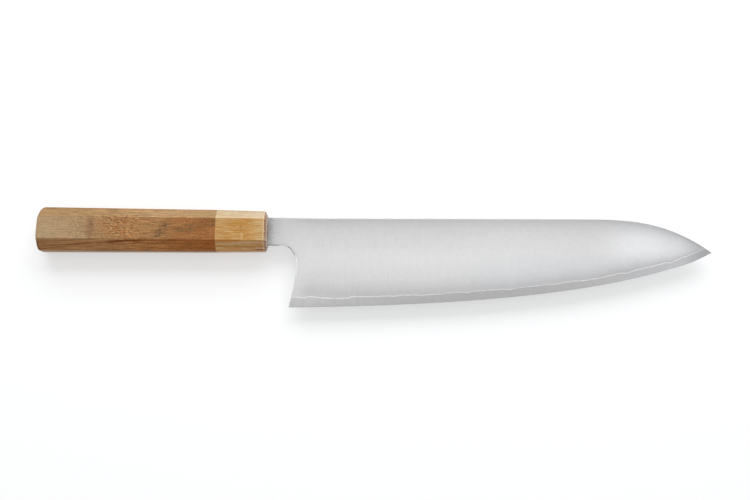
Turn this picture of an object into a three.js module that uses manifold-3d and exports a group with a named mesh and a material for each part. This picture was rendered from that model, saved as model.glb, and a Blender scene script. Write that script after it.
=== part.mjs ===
// Gyuto kitchen knife: a three-layer laminated blade whose hidden tang is bedded in a slotted
// dowel, inside an octagonal handle made of a body and a pale ferrule.
// Millimetres. The knife lies on its left face: +X points to the tip, +Y to the spine, +Z up.

import * as THREE from 'three';
import { mergeVertices } from 'three/addons/utils/BufferGeometryUtils.js';
import Module from 'manifold-3d';

const wasm = await Module();
wasm.setup();

// Blade outline: X runs from the front face of the ferrule, Y from the axis of the handle
const bladeLength = 240;
const neckLength = 12.7;
const neckAboveAxis = 8.15;
const neckBelowAxis = 7.85;
const heelBelowAxis = 43.1;
const tipBelowAxis = 9.7;

// Spine: two straight runs, then one curve that is tangent to the second and drops to the tip
const spineDipFromNeck = 29;
const spineDipAboveAxis = 7.9;
const spineCrestFromTip = 82.6;
const spineCrestAboveAxis = 8.9;
const spineDropLead = 33.6;
const spineDropFromTip = 28.4;
const spineDropAboveTip = 20;

// Edge: one curve from the heel to the tip, pulled towards these two points
const edgeHeelLead = 74.7;
const edgeHeelRise = 1.8;
const edgeTipLead = 55.3;
const edgeTipDrop = 27.1;

// Choil: the hollow between the neck and the heel
const choilNeckBack = 4;
const choilDepth = 3.85;
const choilDeepestBelowNeck = 12.4;
const choilNeckLead = 4.7;
const choilHollowLead = 8;
const choilHeelLead = 8.5;
const choilHeelLean = 1.7;

// Blade layers: a hard core between two softer claddings
const coreThickness = 0.7;
const neckCladding = 1.15;
const heelCladding = 1.05;
const tipCladding = 0.06;
const distalTaper = 1.6;
const faceCrown = 0.35;
const neckBlendStart = 5;
const neckBlendLength = 24;

// Ground edge: the core shows below a lamination line that wavers along the blade
const edgeThickness = 0.08;
const microBevelHeight = 0.6;
const microBevelThickness = 0.26;
const coreShowHeight = 5;
const coreShowHeelRise = 0.65;
const coreShowHeelFade = 18;
const laminationWaves = [
  { length: 47, height: 0.16, start: 0.4 },
  { length: 23, height: 0.12, start: 2.1 },
];

// Hidden tang
const tangEndToButt = 34;
const tangFrontHeight = 9;
const tangRearHeight = 5.5;

// Octagonal handle: all its corners are cut at 45 degrees
const bodyLength = 101;
const ferruleLength = 28.7;
const buttHeight = 24.7;
const jointHeight = 23.3;
const frontHeight = 22.3;
const sideFacetHeight = 12.5;
const edgeFacetWidth = 8.5;
const buttRounding = 2.4;
const buttOffSquare = 1.8;
const frontChamferDepth = 1.9;
const frontChamferWidth = 3.6;
const frontChamferSwell = 0.3;

// Slotted dowel and cast bedding that hold the tang
const beddingThickness = 1;
const beddingMargin = 0.5;
const beddingRecess = 0.3;
const kerfEndRoom = 3;
const dowelSolidEnd = 8;
const glueGap = 0.3;
const drillPointAngle = 118;

// How finely the curves are divided
const edgeStations = 56;
const outlineDivisions = 20;
const roundDivisions = 4;
const boreSides = 32;
const neckStations = 6;
const faceRowShares = [1, 0.7, 0.4, 0.15, 0];
const weldDistance = 1e-5;

// How far a cutting solid reaches past what it cuts
const cutOvershoot = 4;

// Places worked out from the sizes above
const heel = new THREE.Vector2(neckLength, -heelBelowAxis);
const tip = new THREE.Vector2(neckLength + bladeLength, -tipBelowAxis);
const spineDip = new THREE.Vector2(spineDipFromNeck, spineDipAboveAxis);
const spineCrest = new THREE.Vector2(tip.x - spineCrestFromTip, spineCrestAboveAxis);
const neckThickness = coreThickness + 2 * neckCladding;
const kerfWidth = neckThickness + 2 * beddingThickness;
const dowelRadius = tangFrontHeight / 2 + beddingMargin;
const boreRadius = dowelRadius + glueGap;
const handleLength = bodyLength + ferruleLength;
const tangLength = handleLength - tangEndToButt;
const kerfDepth = tangLength + kerfEndRoom;
const dowelLength = kerfDepth + dowelSolidEnd;
const spineTop = Math.max(neckAboveAxis, spineDipAboveAxis, spineCrestAboveAxis);
const buttLean = Math.tan(THREE.MathUtils.degToRad(buttOffSquare));

// Solids from geometry, and geometry from solids

function solidFrom(geometry) {
  const bare = geometry.clone();
  bare.deleteAttribute('normal');
  bare.deleteAttribute('uv');
  const merged = mergeVertices(bare, weldDistance);
  return new wasm.Manifold(new wasm.Mesh({
    numProp: 3,
    vertProperties: new Float32Array(merged.attributes.position.array),
    triVerts: new Uint32Array(merged.index.array),
  }));
}

function geometryFrom(solid) {
  const cut = solid.getMesh();
  const geometry = new THREE.BufferGeometry();
  geometry.setAttribute('position', new THREE.BufferAttribute(cut.vertProperties, 3));
  geometry.setIndex(new THREE.BufferAttribute(cut.triVerts, 1));
  geometry.computeVertexNormals();
  return geometry;
}

// Closed skin through a row of convex rings, which turn from +Y to +Z and follow each other along +X
function loft(rings) {
  const size = rings[0].length;
  const positions = rings.flat().flatMap((point) => point.toArray());
  const triangles = [];
  for (let ring = 0; ring + 1 < rings.length; ring += 1) {
    for (let side = 0; side < size; side += 1) {
      const a = ring * size + side;
      const b = ring * size + (side + 1) % size;
      triangles.push(a, b, b + size, a, b + size, a + size);
    }
  }
  const last = (rings.length - 1) * size;
  for (let side = 1; side + 1 < size; side += 1) {
    triangles.push(0, side + 1, side);
    triangles.push(last, last + side, last + side + 1);
  }
  const geometry = new THREE.BufferGeometry();
  geometry.setAttribute('position', new THREE.Float32BufferAttribute(positions, 3));
  geometry.setIndex(triangles);
  return geometry;
}

// Cylinder along X between two places
function rod(radius, rear, front) {
  const geometry = new THREE.CylinderGeometry(radius, radius, front - rear, boreSides);
  geometry.rotateZ(-Math.PI / 2);
  geometry.translate((rear + front) / 2, 0, 0);
  return geometry;
}

// Box between two places along X, centred on the axis of the handle
function bar(rear, front, height, thickness) {
  const geometry = new THREE.BoxGeometry(front - rear, height, thickness);
  geometry.translate((rear + front) / 2, 0, 0);
  return geometry;
}

// Flat outline given thickness evenly on both sides of the blade's middle plane
function plate(outline, thickness) {
  const geometry = new THREE.ExtrudeGeometry(outline, {
    depth: thickness,
    bevelEnabled: false,
    curveSegments: outlineDivisions,
  });
  geometry.translate(0, 0, -thickness / 2);
  return geometry;
}

// Blade

const edgeCurve = new THREE.CubicBezierCurve(
  heel,
  new THREE.Vector2(heel.x + edgeHeelLead, heel.y + edgeHeelRise),
  new THREE.Vector2(tip.x - edgeTipLead, tip.y - edgeTipDrop),
  tip,
);

// Tang, neck, spine and choil. Past the tip and under the edge it runs wide of the blade,
// because the ground edge ends the steel there.
function blankOutline() {
  const spineRun = spineCrest.clone().sub(spineDip).setLength(spineDropLead);
  const dropEnd = new THREE.Vector2(tip.x - spineDropFromTip, tip.y + spineDropAboveTip);
  const past = tip.clone().sub(dropEnd).setLength(cutOvershoot).add(tip);
  const hollow = new THREE.Vector2(heel.x + choilDepth, -neckBelowAxis - choilDeepestBelowNeck);
  const neckEnd = new THREE.Vector2(heel.x - choilNeckBack, -neckBelowAxis);
  const outline = new THREE.Shape();
  outline.moveTo(-tangLength, tangRearHeight / 2);
  outline.lineTo(0, tangFrontHeight / 2);
  outline.lineTo(0, neckAboveAxis);
  outline.lineTo(spineDip.x, spineDip.y);
  outline.lineTo(spineCrest.x, spineCrest.y);
  outline.bezierCurveTo(
    spineCrest.x + spineRun.x, spineCrest.y + spineRun.y, dropEnd.x, dropEnd.y, tip.x, tip.y,
  );
  outline.lineTo(past.x, past.y);
  outline.lineTo(past.x, heel.y - cutOvershoot);
  outline.lineTo(heel.x - choilHeelLean * cutOvershoot / choilHeelLead, heel.y - cutOvershoot);
  outline.lineTo(heel.x, heel.y);
  outline.bezierCurveTo(
    heel.x + choilHeelLean, heel.y + choilHeelLead,
    hollow.x, hollow.y - choilHollowLead, hollow.x, hollow.y,
  );
  outline.bezierCurveTo(
    hollow.x, hollow.y + choilHollowLead, neckEnd.x + choilNeckLead, neckEnd.y, neckEnd.x, neckEnd.y,
  );
  outline.lineTo(0, -neckBelowAxis);
  outline.lineTo(0, -tangFrontHeight / 2);
  outline.lineTo(-tangLength, -tangRearHeight / 2);
  outline.closePath();
  return outline;
}

// Places along the blade where its section is set, each at the foot of the section:
// level behind the heel, along the edge, and straight on past the tip
function sectionFeet() {
  const feet = [new THREE.Vector2(-tangLength - cutOvershoot, heel.y)];
  for (let step = 0; step < neckStations; step += 1) {
    feet.push(new THREE.Vector2(heel.x * step / neckStations, heel.y));
  }
  feet.push(...edgeCurve.getPoints(edgeStations));
  feet.push(edgeCurve.getTangent(1).setLength(cutOvershoot).add(tip));
  return feet;
}

// Height of the lamination line above the edge
function coreShow(x) {
  const along = Math.max(x - heel.x, 0);
  const heelRise = coreShowHeelRise * Math.exp(-along / coreShowHeelFade);
  const wave = ({ length, height, start }) => height * Math.sin(2 * Math.PI * along / length + start);
  return coreShowHeight + heelRise + laminationWaves.reduce((sum, each) => sum + wave(each), 0);
}

// Thickness of one cladding at the spine
function spineCladding(x) {
  const along = THREE.MathUtils.clamp((x - heel.x) / bladeLength, 0, 1);
  const ground = tipCladding + (heelCladding - tipCladding) * (1 - along ** distalTaper);
  return THREE.MathUtils.lerp(neckCladding, ground, neckBlend(x));
}

// 0 on the flat neck and tang, 1 on the ground blade
function neckBlend(x) {
  return THREE.MathUtils.smoothstep(x, neckBlendStart, neckBlendStart + neckBlendLength);
}

// Share of the section's height, above the lamination line, where the neck's level sides begin:
// a little below the neck itself
const neckFoot = (heelBelowAxis - neckBelowAxis - 2 * coreShowHeight)
  / (heelBelowAxis + spineTop - coreShowHeight);

// Share of the spine's thickness that the cladding has reached, from the lamination line (0)
// to the spine (1): crowned on the blade, level over the whole height of the neck
function faceShare(x, up) {
  const crowned = up * (1 + faceCrown * (1 - up));
  const level = Math.min(up / neckFoot, 1);
  return THREE.MathUtils.lerp(level, crowned, neckBlend(x));
}

const blank = solidFrom(plate(blankOutline(), neckThickness + 2 * cutOvershoot));
const feet = sectionFeet();

function coreSteel() {
  const side = coreThickness / 2;
  const rings = feet.map((foot) => {
    const at = (up, z) => new THREE.Vector3(foot.x, foot.y + up, z);
    const show = coreShow(foot.x);
    const top = spineTop + cutOvershoot - foot.y;
    return [
      at(top, -side), at(top, side), at(show, side), at(microBevelHeight, microBevelThickness / 2),
      at(0, edgeThickness / 2), at(0, -edgeThickness / 2),
      at(microBevelHeight, -microBevelThickness / 2), at(show, -side),
    ];
  });
  return geometryFrom(solidFrom(loft(rings)).intersect(blank));
}

// One cladding; side is 1 for the right face of the knife and -1 for the left
function cladding(side) {
  const inner = coreThickness / 2;
  const rows = [1, (1 + neckFoot) / 2, ...faceRowShares.map((share) => share * neckFoot)];
  const rings = feet.map((foot) => {
    const show = coreShow(foot.x);
    const rise = spineTop - foot.y - show;
    const over = 1 + cutOvershoot / rise;
    const full = spineCladding(foot.x);
    const at = (up, thick) => new THREE.Vector3(foot.x, foot.y + show + up * rise, side * (inner + thick));
    const face = rows.map((up) => at(up, full * faceShare(foot.x, up)));
    const ring = [at(over, 0), at(over, full), ...face];
    return side > 0 ? ring : ring.reverse();
  });
  return geometryFrom(solidFrom(loft(rings)).intersect(blank));
}

// Handle

// Octagon across the handle, drawn in evenly by an inset
function octagon(x, height, inset) {
  const draw = inset * Math.tan(Math.PI / 8);
  const tall = height / 2 - inset;
  const wide = (height - sideFacetHeight + edgeFacetWidth) / 2 - inset;
  const sideHalf = sideFacetHeight / 2 - draw;
  const edgeHalf = edgeFacetWidth / 2 - draw;
  const at = (y, z) => new THREE.Vector3(x, y, z);
  return [
    at(tall, -edgeHalf), at(tall, edgeHalf), at(sideHalf, wide), at(-sideHalf, wide),
    at(-tall, edgeHalf), at(-tall, -edgeHalf), at(-sideHalf, -wide), at(sideHalf, -wide),
  ];
}

// Drill bit along X: its point ends the blind bore of the handle's body
function drill(rear, front) {
  const point = boreRadius / Math.tan(THREE.MathUtils.degToRad(drillPointAngle / 2));
  const profile = [
    new THREE.Vector2(0, rear - point),
    new THREE.Vector2(boreRadius, rear),
    new THREE.Vector2(boreRadius, front),
    new THREE.Vector2(0, front),
  ];
  const geometry = new THREE.LatheGeometry(profile, boreSides);
  geometry.rotateZ(-Math.PI / 2);
  return geometry;
}

// The end of the butt is cut a little off square: it reaches furthest back below the axis
function handleBody() {
  const rings = [];
  for (let step = 0; step <= roundDivisions; step += 1) {
    const turn = (Math.PI / 2) * step / roundDivisions;
    const x = -handleLength + buttRounding * (1 - Math.cos(turn));
    const ring = octagon(x, buttHeight, buttRounding * (1 - Math.sin(turn)));
    ring.forEach((point) => point.setX(x + buttLean * point.y * Math.cos(turn)));
    rings.push(ring);
  }
  rings.push(octagon(-ferruleLength, jointHeight, 0));
  const bore = drill(-dowelLength - glueGap, -ferruleLength + cutOvershoot);
  return geometryFrom(solidFrom(loft(rings)).subtract(solidFrom(bore)));
}

// The front edges are chamfered, with a slight swell
function ferrule() {
  const chamfer = new THREE.QuadraticBezierCurve(
    new THREE.Vector2(-frontChamferDepth, 0),
    new THREE.Vector2(-frontChamferDepth / 2 + frontChamferSwell, frontChamferWidth / 2 - frontChamferSwell),
    new THREE.Vector2(0, frontChamferWidth),
  );
  const rings = [octagon(-ferruleLength, jointHeight, 0)];
  for (const place of chamfer.getPoints(roundDivisions)) {
    rings.push(octagon(place.x, frontHeight, place.y));
  }
  const bore = rod(boreRadius, -ferruleLength - cutOvershoot, cutOvershoot);
  return geometryFrom(solidFrom(loft(rings)).subtract(solidFrom(bore)));
}

function tangDowel() {
  const kerf = bar(-kerfDepth, cutOvershoot, 2 * (dowelRadius + cutOvershoot), kerfWidth);
  return geometryFrom(solidFrom(rod(dowelRadius, -dowelLength, 0)).subtract(solidFrom(kerf)));
}

// Adhesive that fills the dowel's slot around the tang
function tangBedding() {
  const slot = bar(-kerfDepth, -beddingRecess, 2 * (dowelRadius + cutOvershoot), kerfWidth);
  const round = rod(dowelRadius, -dowelLength, 0);
  const rear = { x: -tangLength - glueGap, y: tangRearHeight / 2 + glueGap };
  const mouth = { x: cutOvershoot, y: tangFrontHeight / 2 + glueGap };
  const socket = new THREE.Shape();
  socket.moveTo(rear.x, rear.y);
  socket.lineTo(0, mouth.y);
  socket.lineTo(mouth.x, mouth.y);
  socket.lineTo(mouth.x, -mouth.y);
  socket.lineTo(0, -mouth.y);
  socket.lineTo(rear.x, -rear.y);
  socket.closePath();
  const filled = solidFrom(slot).intersect(solidFrom(round));
  return geometryFrom(filled.subtract(solidFrom(plate(socket, neckThickness))));
}

// Assembly

function piece(name, geometry, color, roughness, metalness) {
  const material = new THREE.MeshStandardMaterial({ color, roughness, metalness });
  const mesh = new THREE.Mesh(geometry, material);
  mesh.name = name;
  return mesh;
}

const knife = new THREE.Group();
knife.add(
  piece('core_steel', coreSteel(), 0xb4b6b8, 0.35, 1),
  piece('cladding_right', cladding(1), 0xd2d3d4, 0.42, 1),
  piece('cladding_left', cladding(-1), 0xd2d3d4, 0.42, 1),
  piece('ferrule', ferrule(), 0xc69a60, 0.55, 0),
  piece('handle_body', handleBody(), 0xa07a4e, 0.6, 0),
  piece('tang_dowel', tangDowel(), 0xcdb28a, 0.7, 0),
  piece('tang_bedding', tangBedding(), 0x8a8072, 0.5, 0),
);

// Origin: under the middle of the knife, on the surface that its lowest facet meets
const buttThickness = buttHeight - sideFacetHeight + edgeFacetWidth;
const rearReach = handleLength + buttLean * (buttHeight / 2 - buttRounding);
knife.position.set(
  -(tip.x - rearReach) / 2,
  -(buttHeight / 2 - heelBelowAxis) / 2,
  buttThickness / 2,
);

export default knife;
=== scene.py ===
"""Gyuto knife: laminated blade with a ground edge, octagonal wooden handle with a pale ferrule.

Sizes are in millimetres in the knife's own axes: X runs from the front face of the ferrule to the
tip, Y from the axis of the handle to the spine, Z from the middle of the blade to its right face.
"""

import math

import bmesh
import bpy
import numpy as np
from mathutils import Matrix, Vector
from mathutils.geometry import delaunay_2d_cdt


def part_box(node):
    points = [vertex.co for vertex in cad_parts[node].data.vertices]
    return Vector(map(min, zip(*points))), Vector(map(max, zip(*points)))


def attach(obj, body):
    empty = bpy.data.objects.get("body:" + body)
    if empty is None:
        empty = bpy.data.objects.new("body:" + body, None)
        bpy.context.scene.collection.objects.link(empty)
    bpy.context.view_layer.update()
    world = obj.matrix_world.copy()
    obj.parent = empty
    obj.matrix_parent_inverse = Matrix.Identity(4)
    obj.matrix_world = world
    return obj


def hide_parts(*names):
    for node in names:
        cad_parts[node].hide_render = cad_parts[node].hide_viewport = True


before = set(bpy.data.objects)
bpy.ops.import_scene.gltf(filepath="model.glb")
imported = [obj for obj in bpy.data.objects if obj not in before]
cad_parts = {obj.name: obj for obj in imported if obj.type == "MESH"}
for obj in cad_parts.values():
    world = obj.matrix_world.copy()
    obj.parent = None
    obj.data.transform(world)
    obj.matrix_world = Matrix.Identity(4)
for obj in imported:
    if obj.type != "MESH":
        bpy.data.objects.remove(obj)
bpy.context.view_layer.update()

MM = 0.001

# Where the knife's own axes lie in the frame
ferrule_low, ferrule_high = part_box("ferrule")
body_low, body_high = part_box("handle_body")
core_low, core_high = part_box("core_steel")
dowel_low, dowel_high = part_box("tang_dowel")
KNIFE_ORIGIN = Vector((
    ferrule_high.x,
    (ferrule_low.y + ferrule_high.y) / 2,
    (ferrule_low.z + ferrule_high.z) / 2,
))


def in_frame(x, y, z):
    """A point of the knife's own axes, as a point of the frame in metres."""
    return KNIFE_ORIGIN + Vector((x, y, z)) * MM


def from_frame(point):
    """A point of the frame, in the knife's own axes."""
    return (point - KNIFE_ORIGIN) / MM


# Blade outline
TIP = np.array([from_frame(core_high).x, -9.7])
HEEL = np.array([12.7, from_frame(core_low).y])
NECK_TOP = 8.15
NECK_FOOT = -7.85
SPINE_DIP = np.array([29.0, 7.9])
SPINE_CREST = TIP + np.array([-82.6, 18.6])
SPINE_DROP_LEAD = 33.6
SPINE_DROP_END = TIP + np.array([-28.4, 20.0])
EDGE_HEEL_PULL = HEEL + np.array([74.7, 1.8])
EDGE_TIP_PULL = TIP + np.array([-55.3, -27.1])
TIP_BELLY = 0.48
TIP_BELLY_REACH = 27.0
CHOIL_NECK_END = np.array([HEEL[0] - 4.0, NECK_FOOT])
CHOIL_HOLLOW = np.array([HEEL[0] + 3.85, NECK_FOOT - 12.4])
CHOIL_NECK_LEAD = 3.9
CHOIL_HOLLOW_LEAD = 8.0
CHOIL_HEEL_PULL = HEEL + np.array([1.7, 8.5])
TANG_FRONT_HALF = 4.5
TANG_REAR_HALF = 2.75
TANG_REAR = from_frame(core_low).x

# Blade layers
CORE_HALF = 0.35
NECK_CLADDING = 1.15
HEEL_CLADDING = 1.05
TIP_CLADDING = 0.06
DISTAL_TAPER = 1.6
FACE_CROWN = 0.35
NECK_BLEND = (5.0, 29.0)
EASED_EDGE = 0.28
CHOIL_EASED_EDGE = 0.72
CHOIL_EASE_FLATNESS = 0.7
# Ease of the tang, which ends just in front of the ferrule
TANG_EASE = 0.02
TANG_EASE_END = 0.5
# Share of the room beside the lamination line, and of the thickness, that an ease may take
EASE_ROOM_SHARE = 0.2
EASE_DEPTH_SHARE = 0.9
# Heights between which the well-rounded part of the choil sets in and ends
CHOIL_ROUND_FOOT = (-36.0, -28.0)
CHOIL_ROUND_TOP = (-15.0, -11.0)
# Height up the face that the neck counts as, where that fades, and the least height of a face
NECK_RISE = 0.9
NECK_RISE_FADE = (0.0, NECK_BLEND[1] - 4.0)
LEAST_FACE = 0.5
EDGE_HALF = 0.04
MICRO_BEVEL_HEIGHT = 0.6
MICRO_BEVEL_HALF = 0.13
CORE_SHOW = 4.55
CORE_SHOW_TIP = 3.7
CORE_SHOW_HEEL_RISE = 0.65
CORE_SHOW_HEEL_FADE = 18.0
CORE_SHOW_NARROWS = (110.0, 220.0)
WELD_LINE_WIDTH = 0.5
WELD_STRIP_SHARE = 0.9
# Wave length, height and start of each waver of the lamination line
LAMINATION_WAVES = (
    (47.0, 0.16, 0.4),
    (23.0, 0.12, 2.1),
    (13.1, 0.13, 0.9),
    (8.3, 0.10, 4.0),
    (5.2, 0.06, 1.7),
    (3.1, 0.04, 0.3),
)
WAVE_LEAN = 0.6
WAVE_TIP_GROWTH = 0.35
WAVES_GROW = (150.0, 215.0)
# Place, height and reach of the bumps and the dip of the lamination line near the heel
LAMINATION_BUMPS = ((24.0, 0.50, 3.2), (38.5, -0.45, 7.0), (48.2, 0.75, 2.2))

# Handle
BUTT_HEIGHT = (body_high.y - body_low.y) / MM
BUTT_ROUNDING = 2.6
BUTT_LEAN = math.tan(math.radians(2.2))
BUTT_LIFT = 0.12
BUTT_SKEW = 0.42
BUTT = from_frame(body_low).x + BUTT_LEAN * (BUTT_HEIGHT / 2 - BUTT_ROUNDING)
JOINT = from_frame(ferrule_low).x
JOINT_HEIGHT = (ferrule_high.y - ferrule_low.y) / MM
FRONT_HEIGHT = 22.3
SIDE_FACET = 12.5
EDGE_FACET = 8.5
SIDE_TOP = SIDE_FACET / 2
SIDE_FOOT = -SIDE_FACET / 2
# The ferrule's front: distance from its face and inset, where the chamfer starts, bends and ends
CHAMFER_START = np.array([-1.6, 0.0])
CHAMFER_BEND = np.array([-0.35, 1.0])
CHAMFER_END = np.array([0.0, 3.4])
CHAMFER_EASE = 0.3
CORNER_EASE = 0.45
BUTT_CORNER_EASE = 7.4
DOWEL_RADIUS = (dowel_high.y - dowel_low.y) / MM / 2
BORE_CLEARANCE = 0.3
BORE_RADIUS = DOWEL_RADIUS + BORE_CLEARANCE
BORE_REAR = from_frame(dowel_low).x - BORE_CLEARANCE
DRILL_HALF_ANGLE = math.radians(59)
DRILL_POINT = BORE_RADIUS / math.tan(DRILL_HALF_ANGLE)

# How the meshes are divided: steps, shares of a step, the gap where lines join, turns of a rim,
# numbers of steps, and the limits for sharp edges and equal points
OUTLINE_STEP = 0.9
TANG_STEP = OUTLINE_STEP * 4
FACE_STEP = 1.6
ROW_SHARE = 0.87
CLEAR_SHARE = 0.55
JOIN_GAP = 0.2
RIM_TURNS = np.radians([30, 60, 90])
SPINE_STEPS = 60
CHOIL_STEPS = 24
EDGE_STEPS = 160
LAMINATION_STEPS = 240
CORNER_STEPS = 4
ROUND_STEPS = 8
BODY_RINGS = 24
SHARP_ANGLE = math.radians(32)
MERGE_DISTANCE = 1e-7
OUTLINE_TOLERANCE = 1e-6

# Photograph's view
CAMERA_LENS = 50
CAMERA_SENSOR = 36
CAMERA_AIM = (61.13, -9.86, 0.0)
CAMERA_DISTANCE = 592.5
CAMERA_TILT = math.radians(8.3)
CAMERA_ROLL = math.radians(0.55)


# Looks: colours as they look in 0 to 255 steps. A pair of places is where a change starts and ends,
# and a third number is the softness of a band's ends

def seen_as(red, green, blue):
    """A colour as it looks in 0 to 255 steps, as the shader's own values."""
    linear = []
    for step in (red, green, blue):
        share = step / 255
        linear.append(share / 12.92 if share <= 0.04045 else ((share + 0.055) / 1.055) ** 2.4)
    return (*linear, 1.0)


def color_row(*stops):
    """Colours that follow one another, each with its share of the way."""
    return [(share, seen_as(*color)) for share, *color in stops]


def grey_row(*stops):
    """Greys that follow one another, each with its share of the way."""
    return [(share, (level, level, level, 1.0)) for share, level in stops]


# Steel: painted shading up the face, from the lamination line to the spine, darker at both and brightest
# between them
FACE_PAINTED_SHADING = grey_row(
    (0.0, 0.505), (0.1, 0.587), (0.2, 0.66), (0.3, 0.694), (0.45, 0.719), (0.6, 0.70),
    (0.7, 0.68), (0.8, 0.64), (0.88, 0.60), (0.95, 0.535), (1.0, 0.49),
)
FACE_LINE_TONE = 0.022
FACE_LINES_FADE = (90.0, 170.0)
FACE_HAZE_TONE = 0.016
HAZE_GRAIN = (2.4, 2.4, 2.4)
# Painted highlight on the belly near the tip: its stretch along the blade, its span up the face and its
# strength
BELLY_PAINTED_HIGHLIGHT = (197.0, 232.0, 17.0)
BELLY_RISE = (0.25, 0.85, 0.22)
BELLY_HIGHLIGHT_TONE = 0.22
# Painted shadow on the neck next to the ferrule, with a mottled edge, and a softer painted shade beyond it
NECK_PAINTED_SHADOW_REACH = (0.3, 4.2)
NECK_PAINTED_SHADOW_TONE = 0.31
NECK_MOTTLE_GRAIN = (1.0, 1.5, 1.5)
NECK_MOTTLE = 1.3
NECK_SHADE_SETS_IN = (0.3, 1.8)
NECK_SHADE_REACH = (2.0, 11.0)
NECK_SHADE_HEIGHTS = (-7.0, 4.0)
NECK_SHADE_TONES = (0.05, 0.18)
# The weld line's tone is partly its own lighter steel and partly a painted highlight
WELD_LINE_AND_HIGHLIGHT_TONE = 0.66
WELD_END_RISE = 0.20
CORE_TONE = 0.44
CORE_END_RISE = 0.145
STEEL_DARKEST = 125.0
STEEL_DARK_REACH = 105.0
# Painted cool reflection: a faint bluish tint on the front part and the lower face of the steels, and where
# it sets in
COOL_REFLECTION_TINT = (0.988, 0.993, 1.01, 1.0)
STEEL_FRONT = (175.0, 215.0)
COOL_FROM = (80.0, 140.0)
TIP_SHADE = (234.0, 249.0)
TIP_SHADE_TONE = 0.74
# Painted light on the lower face near the tip, and a lift of the heel's foot up the face, which lightens
# its painted shading
TIP_FOOT = (204.0, 222.0)
TIP_FOOT_RISE = 0.09
HEEL_FOOT_RISE = 0.1
HEEL_FOOT_REACH = (25.0, 80.0)
# Rim tones: the dark ones under the neck and on the choil's curve are painted shade, the bright ones on the
# lower choil a painted highlight
RIM_PLAIN_TONE = 0.85
RIM_SPINE_TONE = 0.5
RIM_UNDER_TONE = 0.36
RIM_CURVE_TONE = 0.28
RIM_LOW_TONE = 0.74
RIM_CHOIL_TONE = 0.95
# Bottom and top of the painted highlight on the lower choil and its softness, and where the rim is painted
# brightest
CHOIL_PAINTED_HIGHLIGHT = (-38.0, -14.5, 1.0)
CHOIL_HIGHLIGHT_METAL = 0.2
BRIGHT_FROM = (-26.5, -23.0)
# Where the rim passes from the choil's hollow to its curve, the foot of the neck and the spine
CHOIL_CURVE_FROM = (-14.0, -12.0)
NECK_FOOT_FROM = (-8.9, -8.1)
NECK_FOOT_LIT = (4.5, 8.5)
SPINE_FROM = (-6.0, 2.0)
CHOIL_ENDS = (18.0, 24.0)
# Painted shade on the upper face towards the rear of the blade
FACE_UPPER_TONE = 0.962
FACE_UPPER_FADE = (90.0, 150.0)

# Handle wood: colours from the butt to the joint on each kind of facet
BODY_UPPER_COLORS = color_row(
    (0.0, 168, 136, 95), (0.4, 164, 128, 86), (0.7, 183, 149, 107), (1.0, 172, 138, 96),
)
BODY_MAIN_COLORS = color_row(
    (0.0, 185, 157, 121), (0.25, 175, 145, 108), (0.42, 161, 120, 77),
    (0.62, 173, 130, 85), (0.76, 158, 111, 67), (1.0, 154, 102, 56),
)
BODY_LOWER_COLORS = color_row(
    (0.0, 165, 118, 75), (0.35, 184, 136, 91), (0.7, 178, 118, 62), (1.0, 158, 91, 36),
)
GROWTH_BROWN = seen_as(124, 78, 40)
STREAK_BROWN = seen_as(116, 56, 10)
FIGURE_GREY = seen_as(98, 74, 50)
CLOUD_SHADE = (0.68, 0.79, 0.92, 1.0)
BLOTCH_RED = seen_as(168, 98, 50)
SMUDGE_SHADE = (0.63, 0.54, 0.54, 1.0)
EDGE_PAINTED_HIGHLIGHT = seen_as(208, 172, 128)
EDGE_BROWN = seen_as(150, 98, 52)
EDGE_ORANGE = seen_as(152, 78, 18)
# Painted shade at the lower corner of the butt
BUTT_PAINTED_SHADE = seen_as(92, 58, 18)
# Painted sheen from the floor on the handle's downward facet
UNDERSIDE_PAINTED_SHEEN = seen_as(196, 172, 144)
UNDER_BROWN = seen_as(104, 62, 30)
# Where the dark streak leaves the flat side, its slope along the lower facet behind that place,
# its drop in front of it, and how much of a layer one millimetre down that facet crosses
STREAK_MEETS = -70.0
STREAK_SLOPE = 0.068
STREAK_LOW = 0.3
LAYER_CROSSED = 0.5
BODY_LAYER_TILT = -0.5
SIDE_HEIGHT = 10.3
# Stretches of the body over which the streak changes, and its whole reach with its softness
STREAK_WIDENS = (-112.0, -84.0)
STREAK_NARROWS = (-76.0, -62.0)
STREAK_PALES = (-101.0, -96.0)
STREAK_DARKENS = (-93.0, -86.0)
STREAK_FADES = (-70.0, -54.0)
STREAK_REACH = (-124.0, -44.0, 9.0)
# Heights over which the flat side passes into the facets above and below it, and how far out it is
UPPER_FACET_FROM = (SIDE_TOP - 0.75, SIDE_TOP + 0.4)
LOWER_FACET_FROM = (SIDE_FOOT - 0.8, SIDE_FOOT + 0.1)
FLAT_SIDE_FROM = (9.0, 9.7)
# Stretches over which long lines and flecks grow stronger or weaker
LINES_DEEPEN = (-104.0, -78.0)
LINES_EASE = (-62.0, -50.0)
LOWER_LINES_EASE = (-112.0, -98.0)
UPPER_LINES_EASE = (-80.0, -62.0)
FLECKS_DEEPEN = (-118.0, -104.0)
BODY_PORE_TONE = -0.2
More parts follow.
